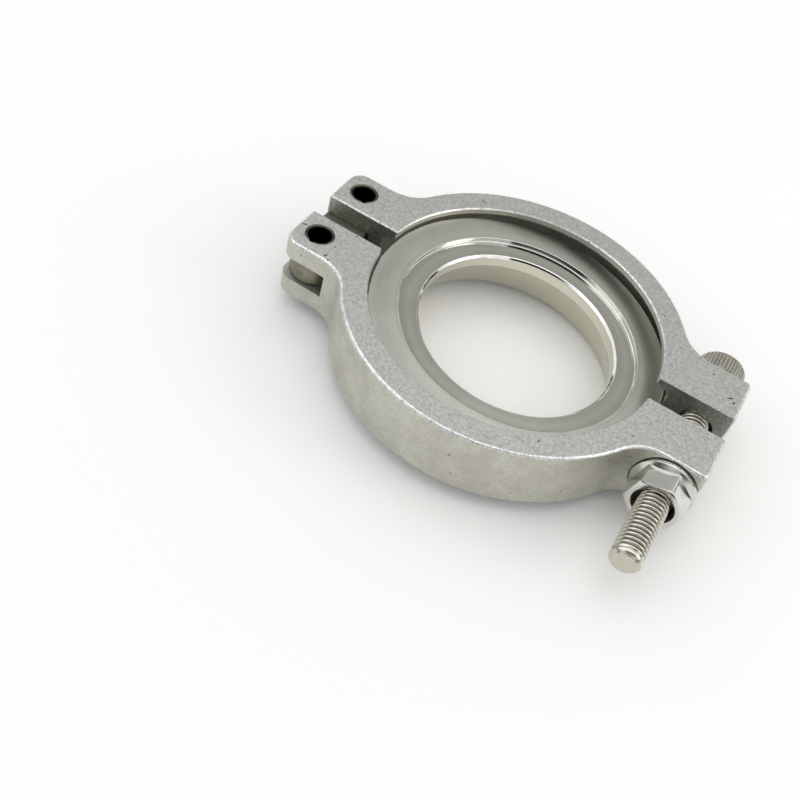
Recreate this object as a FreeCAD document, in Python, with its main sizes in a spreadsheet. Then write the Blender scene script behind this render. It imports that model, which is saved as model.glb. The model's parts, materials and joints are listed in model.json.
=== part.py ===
import FreeCAD, Part
import math
import os
import re

import Sketcher

# Wastegate flange clamp: two cast half rings with a V groove, hinged on a link by two
# roll pins and drawn together by a socket head screw and a flange nut. A turned weld
# flange lies loose in the groove and its neck stands out below. Millimetres. Z is up,
# the neck's lowest edge is at zero, the middle of the ring is on the Z axis, the hinge
# is towards -X and the lugs towards +X. The nut half is on the -Y side and the screw's
# head half on the +Y side.

DIMENSIONS = (
    ("bore_radius", 20.0, "bore of the weld flange"),
    ("bore_land", 2.0, "straight part of the bore"),
    ("bore_flare", 3.2, "how much the bore widens down to the pipe, in radius"),
    ("bore_chamfer", 0.45, "upper edge of the bore"),
    ("register_ledge", 4.4, "width of the sunk face round the bore"),
    ("register_depth", 1.0, "sunk face below the rim's face"),
    ("rim_width", 6.2, "rim's face round the sunk face"),
    ("rim_thickness", 4.4, "weld flange at its rim"),
    ("rim_chamfer", 0.4, "edges of the rim"),
    ("neck_wall", 2.0, "weld flange's neck at its end"),
    ("neck_chamfer", 0.7, "weld edge of the neck"),
    ("flange_height", 11.4, "weld flange, neck to rim face"),
    ("flange_shift", 1.5, "how far the loose flange lies towards the lugs"),
    ("flange_tilt", 3.8, "how far the loose flange tips towards the lugs, degrees"),
    ("rim_clearance", 0.17, "highest point of the rim to the upper lip"),
    ("clamp_height", 13.5, "height of the cast halves"),
    ("lip_overlap", 1.6, "how far the lips reach over the rim"),
    ("lip_land", 1.5, "thickness of a lip at its opening"),
    ("lip_bevel", 0.25, "broken edges of each lip"),
    ("lip_corner_radius", 1.3, "corners of one lip at the gap"),
    ("groove_room", 1.5, "rim to the groove's floor, clamp open"),
    ("groove_slope", 20.0, "slope of the groove's walls, degrees"),
    ("groove_bevel", 0.7, "corners of the groove's floor"),
    ("groove_wall", 2.2, "half ring outside the groove's floor"),
    ("half_offset", 0.6, "how far each half stands out from a closed ring"),
    ("gap_half", 3.05, "from the middle plane to each gap face"),
    ("blend_radius", 8.0, "hollow between the ring and a lug or ear"),
    ("edge_radius", 0.6, "cast edges"),
    ("gap_chamfer", 0.32, "edges of the machined gap faces"),
    ("screw_reach", 4.6, "ring's outside to the screw's axis"),
    ("lug_reach", 5.9, "screw's axis to the end of the lugs"),
    ("lug_thickness", 11.15, "gap face to a lug's back"),
    ("lug_corner_radius", 1.0, "outer corner of a lug"),
    ("seat_depth", 0.4, "spot face under the nut and the head"),
    ("seat_margin", 0.25, "spot face beyond the nut's flange"),
    ("hole_clearance", 0.75, "hole in each lug round the screw"),
    ("hinge_reach", 5.85, "ring's outside to the pins' axes"),
    ("hinge_setback", 5.35, "gap face to each pin's axis"),
    ("ear_reach", 4.95, "pins' axes to the end of the ears"),
    ("ear_cheek", 5.5, "each pin's axis to its ear's flank"),
    ("ear_corner_radius", 3.0, "outer corner of an ear"),
    ("pin_radius", 3.0, "roll pin and its holes"),
    ("pin_wall", 0.75, "thickness of the roll pin's sheet"),
    ("pin_slit", 0.9, "opening along the roll pin"),
    ("pin_chamfer", 0.45, "rolled-in ends of the pin"),
    ("pin_recess", 0.15, "pin's ends below the ears' faces"),
    ("link_thickness", 5.0, "hinge link"),
    ("link_side_clearance", 0.1, "link to each ear"),
    ("link_end_radius", 4.8, "round ends of the link"),
    ("link_end_clearance", 0.4, "link's end to the bottom of its slot"),
    ("link_bore_clearance", 0.05, "link's bore around the pin"),
    ("link_chamfer", 0.3, "broken edges of the link"),
    ("screw_radius", 3.0, "nominal M6 thread"),
    ("screw_length", 50.0, "under the head"),
    ("screw_end_chamfer", 0.7, "end of the thread"),
    ("head_radius", 5.0, "socket head"),
    ("head_height", 6.0, "socket head"),
    ("head_chamfer", 0.5, "top edge of the head"),
    ("head_clearance", 1.6, "loosened screw, head to its seat"),
    ("collar_height", 1.3, "plain band below the knurl"),
    ("collar_step", 0.15, "plain band inside the knurl"),
    ("collar_chamfer", 0.3, "lower edge of the plain band"),
    ("socket_width", 5.0, "hexagon socket across flats"),
    ("socket_depth", 3.0, "hexagon socket"),
    ("knurl_depth", 0.22, "grooves of the knurl"),
    ("nut_width", 10.0, "nut's hexagon across flats"),
    ("nut_height", 6.0, "flange nut"),
    ("nut_flange_radius", 6.2, "flange nut"),
    ("nut_flange_rim", 1.1, "edge of the nut's flange"),
    ("nut_flange_slope", 20.0, "top of the nut's flange, degrees"),
    ("nut_flange_chamfer", 0.25, "edge of the nut's bearing face"),
    ("nut_turn", -15.0, "the nut's turn on its thread, degrees"),
    ("nut_corner_chamfer", 0.8, "outer end of the nut's hexagon, inwards from a corner"),
    ("nut_thread_clearance", 0.05, "nut's bore around the thread"),
    ("nut_sink", 1.05, "countersink at each end of the nut's bore"),
    ("nut_clearance", 0.3, "nut to its seat"),
)
KNURL_GROOVES = 40
ALIASES = {alias for alias, size, note in DIMENSIONS}

# Radii from the bore outwards, and what lies on the ring's outside.
MOUTH = "(bore_radius + bore_flare)"
NECK = f"({MOUTH} + neck_wall)"
REGISTER = "(bore_radius + register_ledge)"
RIM = f"({REGISTER} + rim_width)"
LIP = f"({RIM} - lip_overlap)"
FLOOR = f"({RIM} + groove_room)"
RING = f"({FLOOR} + groove_wall)"
SCREW_PLACE = f"({RING} + screw_reach)"
LUG_END = f"({SCREW_PLACE} + lug_reach)"
HINGE_PLACE = f"({RING} + hinge_reach)"
EAR_END = f"({HINGE_PLACE} + ear_reach)"

# Distances from the middle plane, clamp as it stands.
LUG_BACK = "(gap_half + lug_thickness)"
SEAT = f"({LUG_BACK} - seat_depth)"
HINGE_PITCH = "(gap_half + hinge_setback)"
EAR_FLANK = f"({HINGE_PITCH} + ear_cheek)"

# Heights. The tipped flange's rim lies under the upper lip at the hinge, and its neck
# stands lower than the halves at the lugs, where its lowest edge is at height zero.
TILT_SINE = "sin(flange_tilt * 1deg)"
TILT_COSINE = "cos(flange_tilt * 1deg)"
RIM_DROP = f"(lip_land + rim_clearance + ({RIM} - rim_chamfer) * {TILT_SINE})"
NECK_DROP = f"(flange_height * {TILT_COSINE} + ({NECK} - neck_chamfer) * {TILT_SINE})"
UNDERSIDE = f"({NECK_DROP} + {RIM_DROP} - clamp_height)"
MID_HEIGHT = f"({UNDERSIDE} + clamp_height / 2)"

doc = FreeCAD.newDocument("FlangeClamp")
sheet = doc.addObject("Spreadsheet::Sheet", "Sizes")
for row, (alias, size, note) in enumerate(DIMENSIONS, start=1):
    sheet.set(f"A{row}", note)
    sheet.set(f"B{row}", str(size))
    sheet.setAlias(f"B{row}", alias)
doc.recompute()


X_AXIS = FreeCAD.Vector(1, 0, 0)
Y_AXIS = FreeCAD.Vector(0, 1, 0)
Z_AXIS = FreeCAD.Vector(0, 0, 1)


def bound(text):
    """Turn plain size names in an expression into references to the sheet."""
    return re.sub(r"[a-z_]+", lambda word: f"Sizes.{word[0]}" if word[0] in ALIASES else word[0], text)


def value(text):
    """Work out an expression of the sheet's sizes as a number."""
    result = sheet.evalExpression(bound(text))
    return float(getattr(result, "Value", result))


def point(across, along):
    """Give a point of a sketch from two expressions."""
    return FreeCAD.Vector(value(across), value(along), 0)


def new_body(label):
    """Start a piece whose label names its file."""
    body = doc.addObject("PartDesign::Body", label)
    body.Label = label
    return body


def new_sketch(body, name, plane, lift=None):
    """Attach a sketch to one of the body's own origin planes, lifted along its normal."""
    sketch = body.newObject("Sketcher::SketchObject", name)
    support = [part for part in body.Origin.OriginFeatures if part.Role == plane][0]
    sketch.AttachmentSupport = [(support, "")]
    sketch.MapMode = "FlatFace"
    if lift:
        sketch.setExpression("AttachmentOffset.Base.z", bound(lift))
    return sketch


def fix(sketch, kind, *where, size):
    """Add a constraint whose size follows the sheet."""
    number = sketch.addConstraint(Sketcher.Constraint(kind, *where, value(size)))
    sketch.setExpression(f"Constraints[{number}]", bound(size))


def draw_outline(sketch, corners):
    """Draw a closed outline of straight lines through corners given as expressions."""
    places = [point(*corner) for corner in corners]
    count = len(places)
    for i in range(count):
        sketch.addGeometry(Part.LineSegment(places[i], places[(i + 1) % count]), False)
    for i in range(count):
        sketch.addConstraint(Sketcher.Constraint("Coincident", i, 2, (i + 1) % count, 1))
    for i, (across, along) in enumerate(corners):
        fix(sketch, "DistanceX", i, 1, size=across)
        fix(sketch, "DistanceY", i, 1, size=along)


def draw_circle(sketch, across, along, radius):
    """Draw a circle bound to its centre and radius."""
    circle = Part.Circle(point(across, along), Z_AXIS, value(radius))
    number = sketch.addGeometry(circle, False)
    fix(sketch, "DistanceX", number, 3, size=across)
    fix(sketch, "DistanceY", number, 3, size=along)
    fix(sketch, "Radius", number, size=radius)


def hexagon(flats, turn="0"):
    """Give a hexagon's corners as expressions of its width across flats."""
    corner = f"({flats}) / 2 / cos(30deg)"
    angles = [f"({turn}) * 1deg + {60 * i + 30}deg" for i in range(6)]
    return [(f"{corner} * cos({angle})", f"{corner} * sin({angle})") for angle in angles]


def pad(body, sketch, length):
    """Raise a sketch along its plane's normal."""
    feature = body.newObject("PartDesign::Pad", f"{sketch.Name}Pad")
    feature.Profile = sketch
    feature.setExpression("Length", bound(length))
    doc.recompute()
    return feature


def revolve(body, sketch, kind="PartDesign::Revolution"):
    """Turn a sketch fully about its upright axis, to add or to cut."""
    feature = body.newObject(kind, f"{sketch.Name}Turned")
    feature.Profile = sketch
    feature.ReferenceAxis = (sketch, ["V_Axis"])
    feature.Angle = 360
    doc.recompute()
    return feature


def cut(body, sketch, length=None, both_ways=False, towards_normal=False):
    """Cut a sketch's outline out of the piece, to a depth or right through."""
    before = body.Shape.Volume
    feature = body.newObject("PartDesign::Pocket", f"{sketch.Name}Cut")
    feature.Profile = sketch
    feature.Type = 0 if length else 1
    if length:
        feature.setExpression("Length", bound(length))
    feature.Midplane = both_ways
    feature.Reversed = towards_normal
    doc.recompute()
    if body.Shape.Volume >= before:
        raise RuntimeError(f"{feature.Name} removes nothing")
    return feature


def round_edges(body, radius, wanted):
    """Round the edges of the piece that the test picks."""
    base = body.Tip
    names = [f"Edge{i}" for i, edge in enumerate(base.Shape.Edges, start=1) if wanted(edge)]
    feature = body.newObject("PartDesign::Fillet", "Round")
    feature.Base = (base, names)
    feature.setExpression("Radius", bound(radius))
    doc.recompute()
    return feature


def break_edges(body, size, wanted):
    """Chamfer the edges of the piece that the test picks."""
    base = body.Tip
    names = [f"Edge{i}" for i, edge in enumerate(base.Shape.Edges, start=1) if wanted(edge)]
    feature = body.newObject("PartDesign::Chamfer", "Broken")
    feature.Base = (base, names)
    feature.setExpression("Size", bound(size))
    doc.recompute()
    return feature


def middle(edge):
    """Give the point halfway along an edge."""
    return edge.valueAt((edge.FirstParameter + edge.LastParameter) / 2)


def is_upright(edge):
    """Tell whether an edge is a straight line along Z."""
    return isinstance(edge.Curve, Part.Line) and abs(edge.Curve.Direction.z) > 0.999


def upright_near(across, along):
    """Make a test for the upright edges nearest to a place given as expressions."""
    spot = point(across, along)
    reach = 0.05

    def is_near(edge):
        here = middle(edge)
        return is_upright(edge) and math.hypot(here.x - spot.x, here.y - spot.y) < reach

    return is_near


def on_ring(radius, along):
    """Give how far along X a line at that height in Y meets a circle of the ring."""
    return f"sqrt(({radius})^2 - ({along})^2)"


# One half, in its own frame: the ring's middle is at the origin and the half is on +Y.
OWN_GAP = "(gap_half - half_offset)"
OWN_BACK = f"({LUG_BACK} - half_offset)"
OWN_FLANK = f"({EAR_FLANK} - half_offset)"


def draw_half(sketch):
    """Draw a half from above: ring, lug and ear in one outline."""
    gap, back, flank = value(OWN_GAP), value(OWN_BACK), value(OWN_FLANK)
    lug, ear = value(LUG_END), -value(EAR_END)
    inner, outer = value(LIP), value(RING)
    inner_x = value(on_ring(LIP, OWN_GAP))
    back_x = value(on_ring(RING, OWN_BACK))
    flank_x = -value(on_ring(RING, OWN_FLANK))
    corners = [(inner_x, gap), (lug, gap), (lug, back), (back_x, back)]
    corners += [(flank_x, flank), (ear, flank), (ear, gap), (-inner_x, gap)]
    places = [FreeCAD.Vector(x, y, 0) for x, y in corners]

    def arc(radius, first, last):
        circle = Part.Circle(FreeCAD.Vector(0, 0, 0), Z_AXIS, radius)
        return Part.ArcOfCircle(circle, X_AXIS.getAngle(first), X_AXIS.getAngle(last))

    sketch.addGeometry(Part.LineSegment(places[0], places[1]), False)
    sketch.addGeometry(Part.LineSegment(places[1], places[2]), False)
    sketch.addGeometry(Part.LineSegment(places[2], places[3]), False)
    sketch.addGeometry(arc(outer, places[3], places[4]), False)
    sketch.addGeometry(Part.LineSegment(places[4], places[5]), False)
    sketch.addGeometry(Part.LineSegment(places[5], places[6]), False)
    sketch.addGeometry(Part.LineSegment(places[6], places[7]), False)
    sketch.addGeometry(arc(inner, places[0], places[7]), False)
    joins = [(0, 2, 1, 1), (1, 2, 2, 1), (2, 2, 3, 1), (3, 2, 4, 1), (4, 2, 5, 1), (5, 2, 6, 1)]
    joins += [(6, 2, 7, 2), (7, 1, 0, 1), (3, 3, -1, 1), (7, 3, -1, 1)]
    for join in joins:
        sketch.addConstraint(Sketcher.Constraint("Coincident", *join))
    for level in (0, 2, 4, 6):
        sketch.addConstraint(Sketcher.Constraint("Horizontal", level))
    for upright in (1, 5):
        sketch.addConstraint(Sketcher.Constraint("Vertical", upright))
    fix(sketch, "DistanceY", 0, 1, size=OWN_GAP)
    fix(sketch, "DistanceY", 6, 1, size=OWN_GAP)
    fix(sketch, "DistanceX", 1, 1, size=LUG_END)
    fix(sketch, "DistanceY", 2, 1, size=OWN_BACK)
    fix(sketch, "DistanceY", 4, 1, size=OWN_FLANK)
    fix(sketch, "DistanceX", 5, 1, size=f"-{EAR_END}")
    fix(sketch, "Radius", 3, size=RING)
    fix(sketch, "Radius", 7, size=LIP)


def is_circle(edge, radius):
    """Tell whether an edge is round with the radius of an expression."""
    return isinstance(edge.Curve, Part.Circle) and abs(edge.Curve.Radius - value(radius)) < 0.01


def is_gap_edge(edge):
    """Tell whether an edge is on a gap face."""
    box, gap = edge.BoundBox, value(OWN_GAP)
    return max(abs(box.YMin - gap), abs(box.YMax - gap)) < 0.01


def is_cast_edge(edge):
    """Tell whether an edge is on the upper or lower face, but neither at a lip nor at a gap."""
    box = edge.BoundBox
    flat = box.ZLength < 0.01
    at_face = min(abs(box.ZMin), abs(box.ZMin - value("clamp_height"))) < 0.01
    return flat and at_face and not is_circle(edge, LIP) and not is_gap_edge(edge)


def cut_lip_corners(body):
    """Round the lower lip's corners at the gap. On the half that is turned over they are on top."""
    radius = "lip_corner_radius"
    across = f"sqrt(({LIP} + {radius})^2 - ({OWN_GAP} + {radius})^2)"
    share = f"({LIP} / ({LIP} + {radius}))"
    inside = f"({across} * {share} - {radius})"
    touch = f"({OWN_GAP} + {radius}) * {share}"
    sketch = new_sketch(body, f"{body.Label}_lip_corners", "XY_Plane")
    for side in ("1", "-1"):
        corners = [
            (f"{side} * {across}", OWN_GAP),
            (f"{side} * {across}", f"{OWN_GAP} - 1"),
            (f"{side} * {inside}", f"{OWN_GAP} - 1"),
            (f"{side} * {inside}", touch),
            (f"{side} * {across} * {share}", touch),
        ]
        places = [point(*corner) for corner in corners]
        lines = [
            sketch.addGeometry(Part.LineSegment(start, end), False)
            for start, end in zip(places, places[1:])
        ]
        circle = Part.Circle(point(corners[0][0], f"{OWN_GAP} + {radius}"), Z_AXIS, value(radius))
        ends = [(circle.parameter(places[0]), lines[0], 1), (circle.parameter(places[-1]), lines[-1], 2)]
        ends.sort()
        arc = sketch.addGeometry(Part.ArcOfCircle(circle, ends[0][0], ends[1][0]), False)
        for first, second in zip(lines, lines[1:]):
            sketch.addConstraint(Sketcher.Constraint("Coincident", first, 2, second, 1))
        for tip, (angle, line, end) in enumerate(ends, start=1):
            sketch.addConstraint(Sketcher.Constraint("Coincident", arc, tip, line, end))
        for line, end, corner in zip(lines + lines[-1:], (1, 1, 1, 1, 2), corners):
            fix(sketch, "DistanceX", line, end, size=corner[0])
            fix(sketch, "DistanceY", line, end, size=corner[1])
        fix(sketch, "Radius", arc, size=radius)
    cut(body, sketch, "clamp_height / 2", towards_normal=True)


def cut_groove(body):
    """Turn the V groove between the lips, with the lips' edges and the floor's corners broken."""
    groove = new_sketch(body, f"{body.Label}_groove", "XZ_Plane")
    slope = "tan(groove_slope * 1deg)"
    steps = [
        (f"{LIP} - 1", "-1"),
        (f"{LIP} + lip_bevel + 1", "-1"),
        (LIP, "lip_bevel"),
        (LIP, "lip_land - lip_bevel"),
        (f"{LIP} + lip_bevel", f"lip_land + lip_bevel * {slope}"),
        (f"{FLOOR} - groove_bevel", f"lip_land + (lip_overlap + groove_room - groove_bevel) * {slope}"),
        (FLOOR, f"lip_land + (lip_overlap + groove_room) * {slope} + groove_bevel"),
    ]
    draw_outline(groove, steps + [(across, f"clamp_height - ({up})") for across, up in reversed(steps)])
    revolve(body, groove, "PartDesign::Groove")


def make_half(label):
    """Cast half: ring, lug and forked ear in one, then the machined groove and holes."""
    body = new_body(label)
    plan = new_sketch(body, f"{label}_plan", "XY_Plane")
    draw_half(plan)
    pad(body, plan, "clamp_height")
    lug_root = (on_ring(RING, OWN_BACK), OWN_BACK)
    ear_root = (f"-{on_ring(RING, OWN_FLANK)}", OWN_FLANK)
    near_lug_root, near_ear_root = upright_near(*lug_root), upright_near(*ear_root)
    round_edges(body, "blend_radius", lambda edge: near_lug_root(edge) or near_ear_root(edge))
    round_edges(body, "ear_corner_radius", upright_near(f"-{EAR_END}", OWN_FLANK))
    round_edges(body, "lug_corner_radius", upright_near(LUG_END, OWN_BACK))
    round_edges(body, "edge_radius", is_cast_edge)
    break_edges(body, "gap_chamfer", is_gap_edge)
    cut_lip_corners(body)
    cut_groove(body)

    slot = new_sketch(body, f"{label}_slot", "XZ_Plane")
    slot_mouth = f"-{EAR_END} - 1"
    slot_end = f"-{HINGE_PLACE} + link_end_radius + link_end_clearance"
    slot_low = "clamp_height / 2 - link_thickness / 2 - link_side_clearance"
    slot_high = "clamp_height / 2 + link_thickness / 2 + link_side_clearance"
    draw_outline(slot, [
        (slot_mouth, slot_low),
        (slot_end, slot_low),
        (slot_end, slot_high),
        (slot_mouth, slot_high),
    ])
    cut(body, slot, both_ways=True)

    pin_hole = new_sketch(body, f"{label}_pin_hole", "XY_Plane")
    draw_circle(pin_hole, f"-{HINGE_PLACE}", f"{HINGE_PITCH} - half_offset", "pin_radius")
    cut(body, pin_hole, towards_normal=True)

    screw_hole = new_sketch(body, f"{label}_screw_hole", "XZ_Plane")
    draw_circle(screw_hole, SCREW_PLACE, "clamp_height / 2", "screw_radius + hole_clearance")
    cut(body, screw_hole, both_ways=True)

    seat = new_sketch(body, f"{label}_seat", "XZ_Plane", lift=f"half_offset - {SEAT}")
    draw_circle(seat, SCREW_PLACE, "clamp_height / 2", "nut_flange_radius + seat_margin")
    cut(body, seat)
    return body


def place(body, axis, turn, across="0", along="0", up="0"):
    """Set a piece in the clamp's frame by a turn in degrees about an axis, and distances."""
    body.Placement.Rotation = FreeCAD.Rotation(axis, value(turn))
    body.setExpression("Placement.Rotation.Angle", bound(f"({turn}) * 1deg"))
    body.setExpression("Placement.Base.x", bound(across))
    body.setExpression("Placement.Base.y", bound(along))
    body.setExpression("Placement.Base.z", bound(up))


def make_link():
    """Hinge link: a flat plate with round ends and a bore around each pin."""
    body = new_body("hinge_link")
    plan = new_sketch(body, "link_plan", "XY_Plane")
    half_pitch, radius = value(HINGE_PITCH), value("link_end_radius")
    corners = [(radius, -half_pitch), (radius, half_pitch), (-radius, half_pitch), (-radius, -half_pitch)]
    ends = [FreeCAD.Vector(x, y, 0) for x, y in corners]
    far = Part.Circle(FreeCAD.Vector(0, half_pitch, 0), Z_AXIS, radius)
    near = Part.Circle(FreeCAD.Vector(0, -half_pitch, 0), Z_AXIS, radius)
    plan.addGeometry(Part.LineSegment(ends[0], ends[1]), False)
    plan.addGeometry(Part.ArcOfCircle(far, 0, math.pi), False)
    plan.addGeometry(Part.LineSegment(ends[2], ends[3]), False)
    plan.addGeometry(Part.ArcOfCircle(near, math.pi, 2 * math.pi), False)
    for join in ((0, 2, 1, 1), (1, 2, 2, 1), (2, 2, 3, 1), (3, 2, 0, 1)):
        plan.addConstraint(Sketcher.Constraint("Tangent", *join))
    for centre, along in ((1, HINGE_PITCH), (3, f"-{HINGE_PITCH}")):
        plan.addConstraint(Sketcher.Constraint("PointOnObject", centre, 3, -2))
        fix(plan, "DistanceY", centre, 3, size=along)
    fix(plan, "Radius", 1, size="link_end_radius")
    pad(body, plan, "link_thickness")
    bores = new_sketch(body, "link_bores", "XY_Plane")
    draw_circle(bores, "0", HINGE_PITCH, "pin_radius + link_bore_clearance")
    draw_circle(bores, "0", f"-{HINGE_PITCH}", "pin_radius + link_bore_clearance")
    cut(body, bores, towards_normal=True)

    def is_outline(edge):
        """Tell whether an edge is on a flat face and not at a bore."""
        return edge.BoundBox.ZLength < 0.01 and not is_circle(edge, "pin_radius + link_bore_clearance")

    break_edges(body, "link_chamfer", is_outline)
    return body


def make_pin(label):
    """Roll pin: a slit tube of spring sheet with its ends rolled in."""
    body = new_body(label)
    section = new_sketch(body, f"{label}_section", "XZ_Plane")
    length = "(clamp_height - 2 * pin_recess)"
    draw_outline(section, [
        ("pin_radius - pin_wall", "0"),
        ("pin_radius - pin_chamfer", "0"),
        ("pin_radius", "2 * pin_chamfer"),
        ("pin_radius", f"{length} - 2 * pin_chamfer"),
        ("pin_radius - pin_chamfer", length),
        ("pin_radius - pin_wall", length),
    ])
    revolve(body, section)
    slit = new_sketch(body, f"{label}_slit", "XY_Plane")
    draw_outline(slit, [
        ("0", "-pin_slit / 2"),
        ("pin_radius + 1", "-pin_slit / 2"),
        ("pin_radius + 1", "pin_slit / 2"),
        ("0", "pin_slit / 2"),
    ])
    cut(body, slit, towards_normal=True)
    return body


def make_screw():
    """Socket head screw along Z: under the head at zero, thread downwards."""
    body = new_body("socket_head_screw")
    section = new_sketch(body, "screw_section", "XZ_Plane")
    draw_outline(section, [
        ("0", "-screw_length"),
        ("screw_radius - screw_end_chamfer", "-screw_length"),
        ("screw_radius", "-screw_length + screw_end_chamfer"),
        ("screw_radius", "0"),
        ("head_radius - collar_step - collar_chamfer", "0"),
        ("head_radius - collar_step", "collar_chamfer"),
        ("head_radius - collar_step", "collar_height"),
        ("head_radius", "collar_height"),
        ("head_radius", "head_height - head_chamfer"),
        ("head_radius - head_chamfer", "head_height"),
        ("0", "head_height"),
    ])
    revolve(body, section)
    socket = new_sketch(body, "screw_socket", "XY_Plane", lift="head_height")
    draw_outline(socket, hexagon("socket_width"))
    cut(body, socket, "socket_depth")
    groove = new_sketch(body, "screw_knurl", "XY_Plane", lift="collar_height")
    draw_outline(groove, [
        ("head_radius - knurl_depth", "0"),
        ("head_radius + knurl_depth", "-2 * knurl_depth"),
        ("head_radius + knurl_depth", "2 * knurl_depth"),
    ])
    knurl = cut(body, groove, "head_height - collar_height - head_chamfer", towards_normal=True)
    pattern = body.newObject("PartDesign::PolarPattern", "KnurlPattern")
    pattern.Originals = [knurl]
    pattern.Axis = (groove, ["N_Axis"])
    pattern.Angle = 360
    pattern.Occurrences = KNURL_GROOVES
    body.Tip = pattern
    doc.recompute()
    return body


def make_nut():
    """Flange nut along Z: bearing face at zero, hexagon upwards."""
    body = new_body("flange_nut")
    cone_rise = "(nut_flange_radius - nut_width / 2) * tan(nut_flange_slope * 1deg)"
    flange = new_sketch(body, "nut_flange", "XZ_Plane")
    draw_outline(flange, [
        ("0", "0"),
        ("nut_flange_radius - nut_flange_chamfer", "0"),
        ("nut_flange_radius", "nut_flange_chamfer"),
        ("nut_flange_radius", "nut_flange_rim"),
        ("nut_width / 2", f"nut_flange_rim + {cone_rise}"),
        ("0", f"nut_flange_rim + {cone_rise}"),
    ])
    revolve(body, flange)
    hexagon_plan = new_sketch(body, "nut_hexagon", "XY_Plane")
    draw_outline(hexagon_plan, hexagon("nut_width", "nut_turn"))
    pad(body, hexagon_plan, "nut_height")
    corner = "nut_width / 2 / cos(30deg)"
    chamfer = new_sketch(body, "nut_corners", "XZ_Plane")
    draw_outline(chamfer, [
        (f"{corner} - nut_corner_chamfer", "nut_height"),
        (f"{corner} + 1", "nut_height - (1 + nut_corner_chamfer) * tan(30deg)"),
        (f"{corner} + 1", "nut_height + 1"),
        (f"{corner} - nut_corner_chamfer", "nut_height + 1"),
    ])
    revolve(body, chamfer, "PartDesign::Groove")
    bore = new_sketch(body, "nut_bore", "XZ_Plane")
    bore_radius = "screw_radius + nut_thread_clearance"
    draw_outline(bore, [
        ("0", "-1"),
        (f"{bore_radius} + nut_sink + 1", "-1"),
        (bore_radius, "nut_sink"),
        (bore_radius, "nut_height - nut_sink"),
        (f"{bore_radius} + nut_sink + 1", "nut_height + 1"),
        ("0", "nut_height + 1"),
    ])
    revolve(body, bore, "PartDesign::Groove")
    return body


def make_flange():
    """Weld flange, turned: sunk register, rim with a sloped back, flared bore, short neck."""
    body = new_body("weld_flange")
    section = new_sketch(body, "flange_section", "XZ_Plane")
    back = "flange_height - rim_thickness"
    register = "flange_height - register_depth"
    draw_outline(section, [
        (MOUTH, "0"),
        (f"{NECK} - neck_chamfer", "0"),
        (NECK, "neck_chamfer"),
        (NECK, f"{back} - ({RIM} - {NECK}) * tan(groove_slope * 1deg)"),
        (f"{RIM} - rim_chamfer", f"{back} - rim_chamfer * tan(groove_slope * 1deg)"),
        (RIM, f"{back} + rim_chamfer"),
        (RIM, "flange_height - rim_chamfer"),
        (f"{RIM} - rim_chamfer", "flange_height"),
        (REGISTER, "flange_height"),
        (REGISTER, register),
        ("bore_radius + bore_chamfer", register),
        ("bore_radius", f"{register} - bore_chamfer"),
        ("bore_radius", f"{register} - bore_chamfer - bore_land"),
    ])
    revolve(body, section)
    return body


half_nut_side = make_half("half_clamp_nut_side")
half_head_side = make_half("half_clamp_head_side")
link = make_link()
pin_nut_side = make_pin("roll_pin_nut_side")
pin_head_side = make_pin("roll_pin_head_side")
screw = make_screw()
nut = make_nut()
flange = make_flange()

# The halves are one casting used twice: the nut side's is turned over about X.
place(half_nut_side, X_AXIS, "180", along="-half_offset", up=f"{UNDERSIDE} + clamp_height")
place(half_head_side, X_AXIS, "0", along="half_offset", up=UNDERSIDE)
pin_foot = f"{UNDERSIDE} + pin_recess"
place(link, Z_AXIS, "0", across=f"-{HINGE_PLACE}", up=f"{MID_HEIGHT} - link_thickness / 2")
place(pin_nut_side, Z_AXIS, "-100", across=f"-{HINGE_PLACE}", along=f"-{HINGE_PITCH}", up=pin_foot)
place(pin_head_side, Z_AXIS, "-60", across=f"-{HINGE_PLACE}", along=HINGE_PITCH, up=pin_foot)

# The screw's head points to +Y, the nut faces -Y and both lie midway up the lugs.
place(screw, X_AXIS, "-90", across=SCREW_PLACE, along=f"{SEAT} + head_clearance", up=MID_HEIGHT)
place(nut, X_AXIS, "90", across=SCREW_PLACE, along=f"-{SEAT} - nut_clearance", up=MID_HEIGHT)

# The weld flange is loose: its rim is low at the lugs and lifts to the lip at the hinge.
place(flange, Y_AXIS, "flange_tilt",
      across=f"flange_shift - flange_height * {TILT_SINE}",
      up=f"{NECK_DROP} - flange_height * {TILT_COSINE}")
doc.recompute()

for item in doc.Objects:
    if "Invalid" in item.State or "Error" in item.State:
        raise RuntimeError(f"{item.Name} failed: {item.State}")

bodies = [item for item in doc.Objects if item.TypeId == "PartDesign::Body"]
for body in bodies:
    if body.Shape.isNull() or not body.Shape.isValid():
        raise RuntimeError(f"{body.Label} has no valid shape")

os.makedirs("parts", exist_ok=True)
for body in bodies:
    body.Shape.exportStep(f"parts/{body.Label}.step")
    solid = body.Shape
    print(f"{body.Label}: {len(solid.Solids)} solid, volume {solid.Volume:.1f}, {len(solid.Faces)} faces")
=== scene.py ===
"""Looks of a wastegate flange clamp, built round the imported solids.

Lengths are in metres. Every piece lies in the frame of the solids: +X runs from the hinge to the
lugs, +Y from the nut to the screw's head and +Z up along the ring's axis.
"""

import json
import logging
import math
from collections.abc import Callable, Iterable, Sequence
from dataclasses import dataclass
from enum import Enum

import bmesh
import bpy
from mathutils import Euler, Matrix, Vector


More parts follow.
